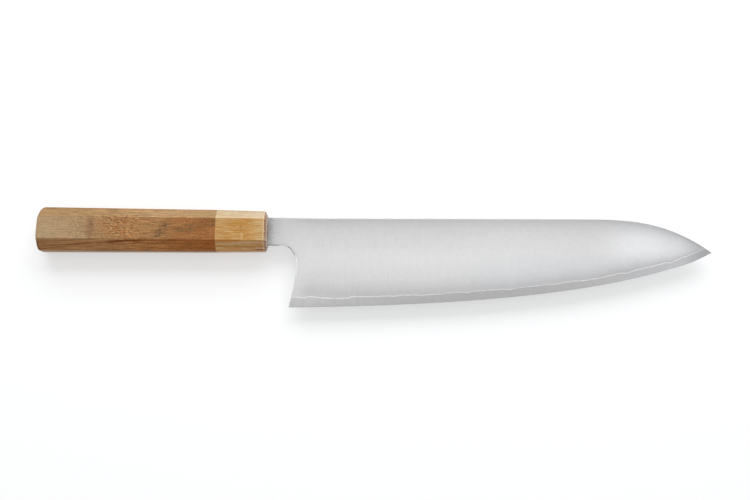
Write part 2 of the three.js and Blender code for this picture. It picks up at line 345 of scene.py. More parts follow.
# Stretches and heights of the painted highlight on the upper edge and of the orange lower edge, the butt's
# corner with its painted shade, the underside with its painted sheen, and the upper rim
UPPER_EDGE_HIGHLIGHT = (-84.0, -56.0, 8.0)
UPPER_EDGE_HIGHLIGHT_ROWS = (SIDE_TOP - 0.3, SIDE_TOP + 0.3, 0.2)
WARM_EDGE_FROM = (-78.0, -62.0)
WARM_EDGE_ROWS = (SIDE_FOOT - 1.0, SIDE_FOOT + 0.2, 0.3)
BUTT_CORNER = (BUTT + 0.6, BUTT + 2.4)
BUTT_CORNER_TOP = (-8.5, -6.0)
UNDERSIDE_FROM = (BUTT + 0.8, BUTT + 2.8)
UNDERSIDE_WIDENS = (-112.0, -88.0)
UNDERSIDE_TOP = (-10.8, -10.0)
UNDERSIDE_EDGE = (4.1, 4.7)
UPPER_RIM_ROWS = (10.0, 10.8)
UPPER_RIM_EDGE = (4.3, 5.2)
# The heart figure: its place, slant, bow, width and span up the flat side, and what follows it
FIGURE_PLACE = -58.3
FIGURE_SLANT = -0.62
FIGURE_BOW = 0.02
FIGURE_WIDTH = (0.8, 4.4)
FIGURE_SPAN = (-5.6, 3.4, 1.4)
BLOTCHES_FROM = (-58.0, -48.0)
# Where the curled stretch sets in and fades out, the size of its strokes, their lean and colours
CURLS_SET_IN = (-101.0, -82.0)
CURLS_FADE = (-80.0, -68.0)
CURL_GRAIN = (1.9, 0.48, 1.0)
CURL_LEAN = 7.0
CURL_BROWN = seen_as(106, 58, 28)
CURL_PALE = seen_as(214, 172, 120)
CURL_RED = seen_as(184, 112, 54)
# Centre and size of the grey clouds, the smudge and the streak's knot, which go through the wood
FAR = 1000.0
HEART_CLOUDS = (
    ((-47.0, -0.8, 0.0), (8.0, 2.2, FAR)),
    ((-39.5, 1.2, 0.0), (8.0, 2.4, FAR)),
    ((-31.0, 3.4, 0.0), (8.0, 3.2, FAR)),
)
SMUDGE = ((-98.8, -0.4, 0.0), (3.3, 7.8, FAR))
STREAK_KNOT = ((-82.2, -7.5, 0.0), (3.4, 0.6, FAR))

# Ferrule wood: colours from the joint to the front on each kind of facet
FERRULE_UPPER_COLORS = color_row((0.0, 201, 181, 145), (0.5, 204, 187, 158), (1.0, 208, 195, 174))
FERRULE_MAIN_COLORS = color_row(
    (0.0, 195, 155, 99), (0.3, 192, 149, 90), (0.55, 188, 134, 64), (0.8, 197, 158, 98),
    (1.0, 198, 172, 128),
)
FERRULE_LOWER_COLORS = color_row((0.0, 204, 158, 101), (0.5, 203, 155, 100), (1.0, 186, 138, 82))
FERRULE_BROWN = seen_as(150, 92, 36)
FERRULE_DARK = seen_as(138, 66, 22)
FERRULE_ORANGE = seen_as(186, 126, 52)
FERRULE_PALE = seen_as(230, 204, 156)
# This grey is both the colour of pale growth layers and the painted sheen of the ferrule's downward facet
FERRULE_GREY = seen_as(220, 192, 164)
FERRULE_BAND = seen_as(192, 112, 28)
# Centre and size of the pale marks and the dark knot on the flat side
PALE_MARKS = (((-13.8, -3.8, 0.0), (0.9, 2.8, FAR)), ((-9.0, -1.9, 0.0), (3.4, 0.6, FAR)))
DARK_KNOT = ((-14.2, 1.2, 0.0), (1.3, 1.6, FAR))
# Bottom, top and softness of the growth layers on the lower facet, and where they set in
PALE_LAYER = (-8.2, -7.1, 0.25)
PALE_LAYER_GROWS = (-24.0, -14.0)
BROWN_LAYER = (-9.7, -9.0, 0.2)
BROWN_LINE = (-7.8, -7.6, 0.15)
THIN_PALE_LAYER = (-10.45, -9.95, 0.15)
THIN_DARK_LAYER = (-11.1, -10.6, 0.2)
THIN_LAYERS_FROM = (-8.0, -5.0)
FERRULE_PALE_EDGE_ROWS = (SIDE_TOP - 0.1, SIDE_TOP + 0.9, 0.3)
FERRULE_BAND_ROWS = (SIDE_FOOT - 1.1, SIDE_FOOT, 0.25)
FERRULE_BAND_REACH = (JOINT + 1, -14.0, 3.0)
FERRULE_RIM_ROWS = (9.6, 10.4)
FERRULE_RIM_EDGE = (4.3, 5.8)
FERRULE_SIDE_FROM = (8.0, 9.0)
FERRULE_LAYER_TILT = -0.35
FERRULE_FLECK_TONE = 0.09
# Where the painted highlight on the ferrule's front edge lies, and where the front passes into end grain
# and into its rim
FERRULE_FRONT_HIGHLIGHT = (CHAMFER_START[0] - 0.4, CHAMFER_START[0] + 0.05, 0.15)
END_GRAIN_FROM = (CHAMFER_START[0], CHAMFER_START[0] + 0.4)
END_RIM_FROM = (-0.5, -0.2)
FRONT_EDGE_HIGHLIGHT = seen_as(240, 220, 184)
END_GRAIN_DARK = seen_as(146, 104, 82)
END_GRAIN_PALE = seen_as(198, 170, 144)
END_RIM_PALE = seen_as(238, 226, 210)

# Shared by woods: shine, length of a fleck for its width, pores next to fibres, drift of layers
WOOD_SHINE = 0.12
FLECK_LENGTH = 1.8
PORE_SHARE = (0.4, 0.8, 0.8)
GROWTH_DRIFT = (46.0, 5.0, 5.0)

# Hidden pieces
DOWEL_DARK = seen_as(186, 150, 104)
DOWEL_PALE = seen_as(216, 184, 140)
BEDDING_DARK = seen_as(110, 100, 84)
BEDDING_PALE = seen_as(150, 138, 118)

# Studio
FLOOR_PAINT = (0.9, 0.9, 0.9, 1)
FLOOR_SEEN = (0.576, 0.584, 0.591, 1)
FLOOR_LIFT = 0.475
FLOOR_REACH = 3.0
ROOM_LEVEL = 0.45
BACK_BOX_PLACE = (0, 0.914, 0.853)
BACK_BOX_SIZE = (1.6, 0.75)
BACK_BOX_POWER = 12.1
TOP_BOX_PLACE = (0.10, 0.12, 1.2)
TOP_BOX_SIZE = (1.5, 0.75)
TOP_BOX_POWER = 2.1


# Curves in the plane of the blade

def bend(start, pull, end, count):
    """A curve with one pull."""
    t = np.linspace(0, 1, count + 1)[:, None]
    return (1 - t) ** 2 * start + 2 * (1 - t) * t * pull + t ** 2 * end


def bezier(start, pull_a, pull_b, end, count):
    """A curve with a pull for each end."""
    t = np.linspace(0, 1, count + 1)[:, None]
    return (
        (1 - t) ** 3 * start + 3 * (1 - t) ** 2 * t * pull_a
        + 3 * (1 - t) * t ** 2 * pull_b + t ** 3 * end
    )


def stepped(points, step):
    """The same path with a point about every step, and its corners kept."""
    path = [np.asarray(points[0], float)]
    for a, b in zip(points[:-1], points[1:]):
        a, b = np.asarray(a, float), np.asarray(b, float)
        parts = max(1, int(math.ceil(np.linalg.norm(b - a) / step)))
        path.extend(a + (b - a) * k / parts for k in range(1, parts + 1))
    return np.array(path)


def spine_curve():
    """From the top of the neck along the spine to the tip."""
    run = SPINE_CREST - SPINE_DIP
    lead = SPINE_CREST + run / np.linalg.norm(run) * SPINE_DROP_LEAD
    drop = bezier(SPINE_CREST, lead, SPINE_DROP_END, TIP, SPINE_STEPS)
    return np.vstack([[(0.0, NECK_TOP)], [SPINE_DIP], drop])


def choil_curve():
    """From the heel up into the hollow and along the foot of the neck to the ferrule."""
    low = bezier(
        HEEL, CHOIL_HEEL_PULL, CHOIL_HOLLOW - (0, CHOIL_HOLLOW_LEAD), CHOIL_HOLLOW, CHOIL_STEPS
    )
    high = bezier(
        CHOIL_HOLLOW, CHOIL_HOLLOW + (0, CHOIL_HOLLOW_LEAD),
        CHOIL_NECK_END + (CHOIL_NECK_LEAD, 0), CHOIL_NECK_END, CHOIL_STEPS,
    )
    return np.vstack([low, high[1:], [(0.0, NECK_FOOT)]])


def tip_belly(x):
    """Extra depth of the edge just behind the tip."""
    share = np.clip(1 - (TIP[0] - x) / TIP_BELLY_REACH, 0, 1)
    return TIP_BELLY * np.sin(math.pi * share) ** 2


def edge_curve():
    """From the heel along the edge to the tip."""
    edge = bezier(HEEL, EDGE_HEEL_PULL, EDGE_TIP_PULL, TIP, EDGE_STEPS)
    edge[:, 1] -= tip_belly(edge[:, 0])
    return edge


SPINE = spine_curve()
EDGE = edge_curve()
CHOIL = choil_curve()
SPINE_TOP = max(NECK_TOP, SPINE_CREST[1])


def smooth_step(value, low, high):
    """Eased from 0 at a low value to 1 at a high one."""
    t = np.clip((value - low) / (high - low), 0, 1)
    return t * t * (3 - 2 * t)


def spine_height(x):
    """Height of the spine at a place along the blade."""
    return np.interp(x, SPINE[:, 0], SPINE[:, 1])


def edge_height(x):
    """Height of the edge at a place along the blade, level behind the heel."""
    return np.interp(x, EDGE[:, 0], EDGE[:, 1])


def core_show(x):
    """Height of the lamination line above the edge."""
    along = np.maximum(x - HEEL[0], 0)
    show = CORE_SHOW + (CORE_SHOW_TIP - CORE_SHOW) * smooth_step(along, *CORE_SHOW_NARROWS)
    show = show + CORE_SHOW_HEEL_RISE * np.exp(-along / CORE_SHOW_HEEL_FADE)
    growth = 1 + WAVE_TIP_GROWTH * smooth_step(along, *WAVES_GROW)
    for length, height, start in LAMINATION_WAVES:
        turn = 2 * math.pi * along / length + start
        show = show + growth * height * np.sin(turn + WAVE_LEAN * np.cos(turn))
    for place, height, reach in LAMINATION_BUMPS:
        show = show + height * np.exp(-((x - place) / reach) ** 2)
    return show + tip_belly(x)


def lamination_height(x):
    """Height of the lamination line at a place along the blade."""
    return edge_height(x) + core_show(x)


def cladding_thickness(x, y):
    """Thickness of one cladding at a place on its face."""
    ground = smooth_step(x, *NECK_BLEND)
    along = np.clip((x - HEEL[0]) / (TIP[0] - HEEL[0]), 0, 1)
    full = TIP_CLADDING + (HEEL_CLADDING - TIP_CLADDING) * (1 - along ** DISTAL_TAPER)
    full = NECK_CLADDING + (full - NECK_CLADDING) * ground
    foot = lamination_height(x)
    up = np.clip((y - foot) / (SPINE_TOP - foot), 0, 1)
    level_from = (NECK_FOOT - HEEL[1] - 2 * CORE_SHOW) / (SPINE_TOP - HEEL[1] - CORE_SHOW)
    crowned = up * (1 + FACE_CROWN * (1 - up))
    level = np.minimum(up / level_from, 1)
    return full * (level + (crowned - level) * ground)


def core_half_thickness(x, y):
    """Half the core's thickness: flat above the lamination line, ground below, bevelled at the edge."""
    up = y - edge_height(x)
    show = core_show(x)
    bevel = EDGE_HALF + (MICRO_BEVEL_HALF - EDGE_HALF) * up / MICRO_BEVEL_HEIGHT
    grind = MICRO_BEVEL_HALF + (CORE_HALF - MICRO_BEVEL_HALF) * (
        (up - MICRO_BEVEL_HEIGHT) / (show - MICRO_BEVEL_HEIGHT)
    )
    half = np.where(up < MICRO_BEVEL_HEIGHT, bevel, grind)
    return np.clip(half, EDGE_HALF, CORE_HALF)


def inside(points, outline):
    """Which points lie inside a closed outline."""
    x, y = points[:, 0], points[:, 1]
    result = np.zeros(len(points), bool)
    for a, b in zip(outline, np.roll(outline, -1, axis=0)):
        crosses = (a[1] > y) != (b[1] > y)
        reach = a[0] + (y - a[1]) / np.where(b[1] == a[1], 1, b[1] - a[1]) * (b[0] - a[0])
        result ^= crosses & (x < reach)
    return result


def nearest_distance(points, path):
    """Distance of each point from a path."""
    best = np.full(len(points), np.inf)
    for a, b in zip(path[:-1], path[1:]):
        run = b - a
        t = np.clip(((points - a) @ run) / max(run @ run, 1e-12), 0, 1)
        best = np.minimum(best, np.linalg.norm(points - (a + t[:, None] * run), axis=1))
    return best


def face_points(outline, step, keep_off):
    """Staggered points that fill an outline, clear of the given paths."""
    low, high = outline.min(0), outline.max(0)
    rows = []
    for row, y in enumerate(np.arange(low[1], high[1], step * ROW_SHARE)):
        xs = np.arange(low[0] + (row % 2) * step / 2, high[0], step)
        rows.append(np.stack([xs, np.full_like(xs, y)], 1))
    points = np.vstack(rows)
    points = points[inside(points, outline)]
    for path in keep_off:
        points = points[nearest_distance(points, path) > step * CLEAR_SHARE]
    return points


def triangulate(outline, fill=None, lines=()):
    """Triangles that cover an outline. The outline's own points come first, in order."""
    points = [Vector(p) for p in outline]
    edges = []
    for line in lines:
        first = len(points)
        points.extend(Vector(p) for p in line)
        edges.extend((k, k + 1) for k in range(first, len(points) - 1))
    if fill is not None:
        points.extend(Vector(p) for p in fill)
    border = list(range(len(outline)))
    made, _, faces, origin, _, _ = delaunay_2d_cdt(points, edges, [border], 1, OUTLINE_TOLERANCE)
    order = [None] * len(outline)
    for index, sources in enumerate(origin):
        for source in sources:
            if source < len(outline):
                order[source] = index
    return np.array([(p.x, p.y) for p in made]), [list(f) for f in faces], order


# Pieces from points

def show(name, data):
    """A new object in the scene."""
    made = bpy.data.objects.new(name, data)
    bpy.context.scene.collection.objects.link(made)
    return made


def new_piece(name, points, faces, node, materials, face_slots=None):
    """A closed mesh piece from points in the knife's own axes, in place of a CAD node."""
    mesh = bpy.data.meshes.new(name)
    mesh.from_pydata([in_frame(*p) for p in points], [], faces)
    if face_slots is not None:
        mesh.polygons.foreach_set("material_index", face_slots)
    work = bmesh.new()
    work.from_mesh(mesh)
    bmesh.ops.remove_doubles(work, verts=work.verts, dist=MERGE_DISTANCE)
    loose = [v for v in work.verts if not v.link_faces]
    bmesh.ops.delete(work, geom=loose, context="VERTS")
    bmesh.ops.recalc_face_normals(work, faces=work.faces)
    work.to_mesh(mesh)
    work.free()
    mesh.polygons.foreach_set("use_smooth", [True] * len(mesh.polygons))
    mesh.set_sharp_from_angle(angle=SHARP_ANGLE)
    piece = show(name, mesh)
    even = piece.modifiers.new("even_normals", "WEIGHTED_NORMAL")
    even.keep_sharp = True
    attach(piece, "root")
    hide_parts(node)
    for material in materials:
        mesh.materials.append(material)
    return piece


def unique_face(ids):
    """A face without repeated points, or None where fewer than three are left."""
    kept = [v for k, v in enumerate(ids) if v != ids[k - 1]]
    return kept if len(set(kept)) == len(kept) and len(kept) >= 3 else None


def outline_normals(outline):
    """Unit normals that point into an outline that runs anticlockwise."""
    ahead = np.roll(outline, -1, axis=0) - outline
    ahead /= np.linalg.norm(ahead, axis=1)[:, None]
    left = np.stack([-ahead[:, 1], ahead[:, 0]], 1)
    both = left + np.roll(left, 1, axis=0)
    return both / np.linalg.norm(both, axis=1)[:, None]


# Blade pieces

FACE_SLOT, WELD_SLOT, RIM_SLOT = 0, 1, 2
CORE_FACE_SLOT, CORE_RIM_SLOT = 0, 1


def tang_curve():
    """From just below the top of the neck round the tang to the foot of the neck."""
    corners = [
        (0.0, NECK_TOP), (0.0, TANG_FRONT_HALF), (TANG_REAR, TANG_REAR_HALF),
        (TANG_REAR, -TANG_REAR_HALF), (0.0, -TANG_FRONT_HALF), (0.0, NECK_FOOT),
    ]
    return stepped(np.array(corners), TANG_STEP)[1:]


def lamination_line():
    """The lamination line from the choil to where it runs out on the spine."""
    settling_rounds, search_from, search_steps = 12, HEEL[0] + 150, 2000
    heel_part = CHOIL[CHOIL[:, 1] < CHOIL_HOLLOW[1]]
    x = HEEL[0]
    for _ in range(settling_rounds):
        x = np.interp(lamination_height(x), heel_part[:, 1], heel_part[:, 0])
    xs = np.linspace(search_from, TIP[0], search_steps)
    past = lamination_height(xs) > spine_height(xs)
    end = xs[np.argmax(past)]
    line_x = np.linspace(x, end, LAMINATION_STEPS)
    line = np.stack([line_x, lamination_height(line_x)], 1)
    line[-1, 1] = spine_height(end)
    return line


LAMINATION = lamination_line()


def cladding_outline():
    """Anticlockwise outline of a cladding, and which of its points lie on the lamination line."""
    line = LAMINATION
    spine = SPINE[SPINE[:, 0] < line[-1, 0] - JOIN_GAP][::-1]
    choil = CHOIL[CHOIL[:, 1] > line[0, 1] + JOIN_GAP]
    upper = stepped(np.vstack([line[-1:], spine]), OUTLINE_STEP)[1:]
    lower = stepped(np.vstack([line[:1], choil])[::-1], OUTLINE_STEP)[1:-1]
    outline = np.vstack([line, upper, tang_curve(), lower])
    on_line = np.zeros(len(outline), bool)
    on_line[:len(line)] = True
    return outline, on_line


def cladding_piece(name, side, node):
    """One cladding: a crowned face, eased rims and a flat inner face against the core."""
    outline, on_line = cladding_outline()
    normals = outline_normals(outline)
    room = nearest_distance(outline, LAMINATION)
    ease = np.where(on_line, 0, np.minimum(EASED_EDGE, room * EASE_ROOM_SHARE))
    ease = np.where(outline[:, 0] < TANG_EASE_END, TANG_EASE, ease)
    choil = lower_choil(outline) * ~on_line
    ease = ease + (CHOIL_EASED_EDGE - EASED_EDGE) * choil
    rim = outline + normals * ease[:, None]
    fill = face_points(rim, FACE_STEP, [np.vstack([rim, rim[:1]]), weld_edge()])
    flat, faces, order = triangulate(rim, fill, [weld_edge()])
    thick = cladding_thickness(flat[:, 0], flat[:, 1])
    height = CORE_HALF + thick
    height[[order[k] for k in np.flatnonzero(on_line)]] = CORE_HALF
    room_above = (height[order] - CORE_HALF) * EASE_DEPTH_SHARE
    depth = np.minimum(ease * (1 - CHOIL_EASE_FLATNESS * choil), room_above)
    points = [(x, y, side * z) for (x, y), z in zip(flat, height)]
    slots = [face_slot(flat[f].mean(0)) for f in faces]
    levels = [np.array(order)]
    for turn in RIM_TURNS:
        ring = outline + normals * (ease * (1 - np.sin(turn)))[:, None]
        z = height[order] - depth * (1 - np.cos(turn))
        levels.append(add_ring(points, ring, side * z, on_line, order))
    inner = np.full(len(outline), side * CORE_HALF)
    levels.append(add_ring(points, outline, inner, on_line, order))
    for above, below in zip(levels[:-1], levels[1:]):
        for k in range(len(outline)):
            after = (k + 1) % len(outline)
            face = unique_face([above[k], above[after], below[after], below[k]])
            if face:
                faces.append([int(v) for v in face])
                slots.append(RIM_SLOT)
    _, back, back_order = triangulate(outline)
    place = {made: int(levels[-1][source]) for source, made in enumerate(back_order)}
    faces.extend([place[v] for v in f] for f in back)
    slots.extend([FACE_SLOT] * len(back))
    materials = (cladding_steel, weld_line_steel, rim_steel)
    store_face_rise(new_piece(name, points, faces, node, materials, slots))


def lower_choil(outline):
    """How far each point of the outline belongs to the well-rounded lower part of the choil."""
    x, y = outline[:, 0], outline[:, 1]
    rounded = smooth_step(y, *CHOIL_ROUND_FOOT) * (1 - smooth_step(y, *CHOIL_ROUND_TOP))
    return rounded * (x < CHOIL_HOLLOW[0] + 1)


def store_face_rise(piece):
    """Keeps each point's height up the ground face: 0 at the lamination line, 1 at the spine."""
    places = np.array([from_frame(v.co) for v in piece.data.vertices])
    x, y = places[:, 0], places[:, 1]
    foot = lamination_height(x)
    top = spine_height(x)
    rise = np.clip((y - foot) / np.maximum(top - foot, LEAST_FACE), 0, 1)
    # Near the heel the foot of the face is lifted, which lightens its painted shading there
    rise = np.maximum(rise, HEEL_FOOT_RISE * (1 - smooth_step(x, *HEEL_FOOT_REACH)))
    rise = NECK_RISE + (rise - NECK_RISE) * smooth_step(x, *NECK_RISE_FADE)
    layer = piece.data.attributes.new("face_rise", "FLOAT", "POINT")
    layer.data.foreach_set("value", rise)


def add_ring(points, ring, z, on_line, order):
    """Adds a ring of rim points, sharing those on the lamination line, and gives their indices."""
    ids = []
    for k, (x, y) in enumerate(ring):
        if on_line[k]:
            ids.append(order[k])
        else:
            ids.append(len(points))
            points.append((x, y, z[k]))
    return np.array(ids)


def weld_edge():
    """Upper edge of the bright strip along the lamination line."""
    inner = LAMINATION[2:-2]
    return inner + (0, WELD_LINE_WIDTH)


def face_slot(place):
    """Material slot of a part of the cladding's face."""
    above_line = place[1] - lamination_height(place[0])
    on_strip = above_line < WELD_LINE_WIDTH * WELD_STRIP_SHARE and place[0] > HEEL[0]
    return WELD_SLOT if on_strip else FACE_SLOT


def core_piece():
    """The core: flat between the claddings, ground to the edge below the lamination line."""
    spine = stepped(SPINE[::-1], OUTLINE_STEP)
    choil = stepped(CHOIL[::-1], OUTLINE_STEP)[1:]
    edge = stepped(EDGE, OUTLINE_STEP)[1:-1]
    outline = np.vstack([spine, tang_curve(), choil, edge])
    bevel = EDGE[3:-4] + (0, MICRO_BEVEL_HEIGHT)
    flat, faces, order = triangulate(outline, None, [LAMINATION[1:-1], bevel])
    half = core_half_thickness(flat[:, 0], flat[:, 1])
    count = len(flat)
    points = [(x, y, z) for (x, y), z in zip(flat, half)]
    points += [(x, y, -z) for (x, y), z in zip(flat, half)]
    closed = [list(f) for f in faces] + [[v + count for v in f] for f in faces]
    slots = [CORE_FACE_SLOT] * len(closed)
    for k in range(len(outline)):
        a, b = order[k], order[(k + 1) % len(outline)]
        closed.append([a, b, b + count, a + count])
        slots.append(CORE_RIM_SLOT)
    materials = (core_steel, rim_steel)
    new_piece("core_steel_ground", points, closed, "core_steel", materials, slots)


# Handle pieces

def octagon(height, inset, ease=CORNER_EASE):
    """Points round the handle's section, with eased corners, drawn in evenly by an inset."""
    draw = inset * math.tan(math.pi / 8)
    tall = height / 2 - inset
    wide = (height - SIDE_FACET + EDGE_FACET) / 2 - inset
    side = SIDE_FACET / 2 - draw
    edge = EDGE_FACET / 2 - draw
    corners = [
        (tall, edge), (side, wide), (-side, wide), (-tall, edge),
        (-tall, -edge), (-side, -wide), (side, -wide), (tall, -edge),
    ]
    ring = []
    for k, (y, z) in enumerate(corners):
        middle = math.radians(22.5 + 45 * k)
        centre_reach = ease / math.cos(math.pi / 8)
        centre = (y - centre_reach * math.cos(middle), z - centre_reach * math.sin(middle))
        for step in range(CORNER_STEPS + 1):
            turn = middle + math.radians(45) * (step / CORNER_STEPS - 0.5)
            ring.append((
                centre[0] + ease * math.cos(turn),
                centre[1] + ease * math.sin(turn),
            ))
    return ring


def circle(radius):
    """As many points as the octagon has, at like angles."""
    ring = []
    for k in range(8):
        for step in range(CORNER_STEPS + 1):
            share = (step + 0.5) / (CORNER_STEPS + 1)
            turn = math.radians(45 * (k + share))
            ring.append((radius * math.cos(turn), radius * math.sin(turn)))
    return ring


def across(x, section):
    """A ring of points: a section of the handle, square across it at a place."""
    return [(x, y, z) for y, z in section]


def skin(rings, closed_loop):
    """Faces between successive rings of points; a closed loop also joins the last to the first."""
    size = len(rings[0])
    points = [point for ring in rings for point in ring]
    faces = []
    pairs = len(rings) if closed_loop else len(rings) - 1
    for r in range(pairs):
        here, there = r * size, (r + 1) % len(rings) * size
        for k in range(size):
            after = (k + 1) % size
            faces.append([here + k, here + after, there + after, there + k])
    return points, faces


def butt_ring(turn):
    """A ring of the rounded butt, which leans back below and is rounded over a longer way above."""
    x = BUTT + BUTT_ROUNDING * (1 - math.cos(turn))
    drawn_in = 1 - math.sin(turn)
    ease = CORNER_EASE + (BUTT_CORNER_EASE - CORNER_EASE) * math.sqrt(drawn_in)
    section = octagon(BUTT_HEIGHT, BUTT_ROUNDING * drawn_in, ease)
    lift = BUTT_LIFT * BUTT_ROUNDING * drawn_in
    skew = BUTT_SKEW * BUTT_ROUNDING * (1 - math.cos(turn)) / (BUTT_HEIGHT / 2)
    slope = skew + BUTT_LEAN * math.cos(turn)
    return [(x + slope * y, y + lift, z) for y, z in section]


def handle_body_piece():
    """The grip: rounded butt, octagon that narrows to the joint, and a blind bore for the dowel."""
    rings = [butt_ring(math.pi / 2 * step / ROUND_STEPS) for step in range(ROUND_STEPS + 1)]
    start = BUTT + BUTT_ROUNDING
    for step in range(1, BODY_RINGS + 1):
        share = step / BODY_RINGS
        height = BUTT_HEIGHT + (JOINT_HEIGHT - BUTT_HEIGHT) * share
        rings.append(across(start + (JOINT - start) * share, octagon(height, 0)))
    rings.append(across(JOINT, circle(BORE_RADIUS)))
    rings.append(across(BORE_REAR, circle(BORE_RADIUS)))
    points, faces = skin(rings, False)
    size = len(rings[0])
    faces.append(list(range(size)))
    bottom = len(points)
    points.append((BORE_REAR - DRILL_POINT, 0, 0))
    last = bottom - size
    faces.extend([last + k, last + (k + 1) % size, bottom] for k in range(size))
    new_piece("handle_body_grip", points, faces, "handle_body", (handle_wood,))


def front_chamfer():
    """Distance from the front face and inset of each ring, from the sides to the front face."""
    slope = bend(CHAMFER_START, CHAMFER_BEND, CHAMFER_END, ROUND_STEPS)
    eased = bend(CHAMFER_START - (CHAMFER_EASE, 0), CHAMFER_START, slope[1], ROUND_STEPS // 2)
    return np.vstack([eased, slope[2:]])


def ferrule_piece():
    """The collar: an octagon with a chamfered front and a bore right through."""
    rings = [across(JOINT, octagon(JOINT_HEIGHT, 0))]
    rings.extend(across(x, octagon(FRONT_HEIGHT, inset)) for x, inset in front_chamfer())
    rings.append(across(0.0, circle(BORE_RADIUS)))
    rings.append(across(JOINT, circle(BORE_RADIUS)))
    points, faces = skin(rings, True)
    new_piece("ferrule_collar", points, faces, "ferrule", (ferrule_wood,))


# Shader building

class Wire:
    """A value that a node gives out. Sums and products of wires and numbers add Math nodes."""

    def __init__(self, socket):
        self.socket = socket
        self.tree = socket.id_data

    def __add__(self, other):
        return worked("ADD", self, other)

    def __sub__(self, other):
        return worked("SUBTRACT", self, other)

    def __rsub__(self, other):
        return worked("SUBTRACT", other, self)

    def __mul__(self, other):
        return worked("MULTIPLY", self, other)

    def __truediv__(self, other):
        return worked("DIVIDE", self, other)

    def __abs__(self):
        return worked("ABSOLUTE", self)

    __radd__ = __add__
    __rmul__ = __mul__


def feed(socket, value):
    """Wires up a socket, or sets it to a number, a vector or a colour."""
    if isinstance(value, Wire):
        value.tree.links.new(value.socket, socket)
    else:
        socket.default_value = value


def add_node(kind, inputs, output=0, **settings):
    """Adds a node, feeds its inputs by name or number, and gives the wire of one output."""
    tree = next(value.tree for value in inputs.values() if isinstance(value, Wire))
    made = tree.nodes.new(kind)
    for name, value in settings.items():
        setattr(made, name, value)
    for name, value in inputs.items():
        feed(made.inputs[name], value)
    return Wire(made.outputs[output])


def worked(operation, *values):
    """The result of a Math node."""
    return add_node("ShaderNodeMath", dict(enumerate(values)), operation=operation)


def shifted(operation, place, by):
    """The result of a Vector Math node."""
    return add_node("ShaderNodeVectorMath", {0: place, 1: by}, "Vector", operation=operation)


def spread(value, low, high, to_low, to_high, easing="SMOOTHSTEP"):
    """A value eased from one range into another, and held at its ends."""
    ranges = dict(enumerate((value, low, high, to_low, to_high)))
    return add_node("ShaderNodeMapRange", ranges, "Result", interpolation_type=easing)


def within(value, low, high, soft):
    """A mask that is 1 between two limits, with soft ends."""
    return spread(value, low - soft, low + soft, 0, 1) * spread(value, high - soft, high + soft, 1, 0)


def mixed(factor, color_a, color_b, blend="MIX"):
    """Two colours mixed by a factor."""
    inputs = {0: factor, 6: color_a, 7: color_b}
    return add_node("ShaderNodeMix", inputs, 2, data_type="RGBA", blend_type=blend)


def noise(place, grain, detail=2.0, distortion=0.0, output="Fac"):
    """Smooth noise whose lumps have the given size along each axis."""
    lumps = shifted("DIVIDE", place, grain)
    inputs = {"Vector": lumps, "Scale": 1.0, "Detail": detail, "Distortion": distortion}
    return add_node("ShaderNodeTexNoise", inputs, output)


def wobble(place, grain, reach):
    """Noise that swings to either side by a reach."""
    return spread(noise(place, grain), 0.2, 0.8, -reach, reach)


def strewn(place, grain, reach):
    """The place, moved about by noise whose lumps have the given size."""
    away = shifted("SUBTRACT", noise(place, grain, output="Color"), (0.5, 0.5, 0.5))
    return shifted("ADD", place, shifted("MULTIPLY", away, (reach, reach, reach)))


def lump_size(length, width):
    """Size of lumps along the knife and across it, for noise."""
    return add_node("ShaderNodeCombineXYZ", {"X": length, "Y": width, "Z": width}, "Vector")


def ramp(factor, stops, interpolation="B_SPLINE"):
    """Colours that follow one another at the given shares of a factor."""
    color = add_node("ShaderNodeValToRGB", {"Fac": factor}, "Color")
    blend = color.socket.node.color_ramp
    blend.interpolation = interpolation
    while len(blend.elements) < len(stops):
        blend.elements.new(0.5)
    for element, (share, stop) in zip(blend.elements, stops):
        element.position = share
        element.color = stop
    return color


def split(place):
    """The wires of a place along X, Y and Z."""
    first = add_node("ShaderNodeSeparateXYZ", {0: place})
    return [Wire(socket) for socket in first.socket.node.outputs]


def new_material(name):
    """A material, its shader, and the shaded point in the knife's own axes, in millimetres."""
    material = bpy.data.materials.new(name)
    material.use_nodes = True
    nodes = material.node_tree.nodes
    here = Wire(nodes.new("ShaderNodeTexCoord").outputs["Object"])
    moved = shifted("SUBTRACT", here, tuple(KNIFE_ORIGIN))
    return material, nodes["Principled BSDF"], shifted("DIVIDE", moved, (MM, MM, MM))


def dress(shader, color, roughness, metal=0.0, shine=0.5):
    """Feeds the shader of a material."""
    inputs = {"Base Color": color, "Roughness": roughness, "Metallic": metal, "Specular IOR Level": shine}
    for label, value in inputs.items():
        feed(shader.inputs[label], value)


def bump(shader, height, depth, strength):
    """Relief of the given depth in millimetres."""
    inputs = {"Strength": strength, "Distance": depth * MM, "Height": height}
    feed(shader.inputs["Normal"], add_node("ShaderNodeBump", inputs, "Normal"))


def shared_effect(name, vectors, numbers, outputs, make):
    """A node group with named sockets, as a function that places it in a material."""
    tree = bpy.data.node_groups.new(name, "ShaderNodeTree")
    for label in vectors:
        tree.interface.new_socket(label, in_out="INPUT", socket_type="NodeSocketVector")
    for label in numbers:
        tree.interface.new_socket(label, in_out="INPUT", socket_type="NodeSocketFloat")
    for label in outputs:
        tree.interface.new_socket(label, in_out="OUTPUT", socket_type="NodeSocketFloat")
    given = tree.nodes.new("NodeGroupInput").outputs
    result = tree.nodes.new("NodeGroupOutput").inputs
    masks = make(*(Wire(given[label]) for label in (*vectors, *numbers)))
    for label, mask in zip(outputs, masks):
        feed(result[label], mask)

    def placed(**inputs):
        first = add_node("ShaderNodeGroup", inputs, node_tree=tree)
        return {socket.name: Wire(socket) for socket in first.socket.node.outputs}

    return placed


# Effects shared by several materials

